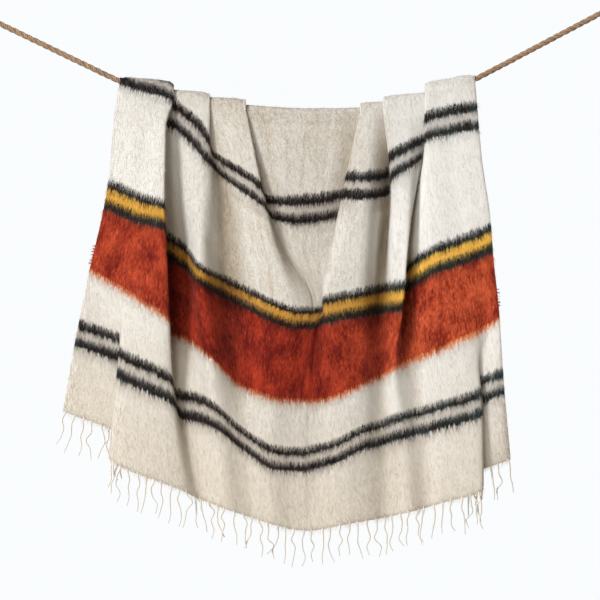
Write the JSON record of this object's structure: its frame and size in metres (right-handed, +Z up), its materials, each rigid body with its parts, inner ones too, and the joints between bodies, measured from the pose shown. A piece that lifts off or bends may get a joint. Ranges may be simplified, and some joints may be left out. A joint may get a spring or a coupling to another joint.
{
  "type": "handwoven wool throw hung over a jute rope",
  "caption": "Fringed, striped wool throw draped in stacked pleats over a sagging twisted rope that ends in a seized eye at each side",
  "frame": {"origin": "the inner crown of the eye at the rope's left end, where the rope is tied up", "axes": "+X to the right of the seen face, towards the other tie; +Z up; the seen face of the throw looks along -Y"},
  "size_m": [1.5663, 0.1385, 1.2974],
  "materials": {
    "wool": "brushed wool, cream with charcoal, yellow and rust stripes",
    "warp_yarn": "plied cream wool yarn",
    "jute": "three-strand natural jute",
    "twine": "jute twine, wound"
  },
  "bodies": {
    "root": {"throw": "wool", "fringe_front": "warp_yarn", "fringe_back": "warp_yarn", "rope": "jute", "left_eye": "jute", "right_eye": "jute", "left_seizing": "twine", "right_seizing": "twine"}
  },
  "joints": []
}
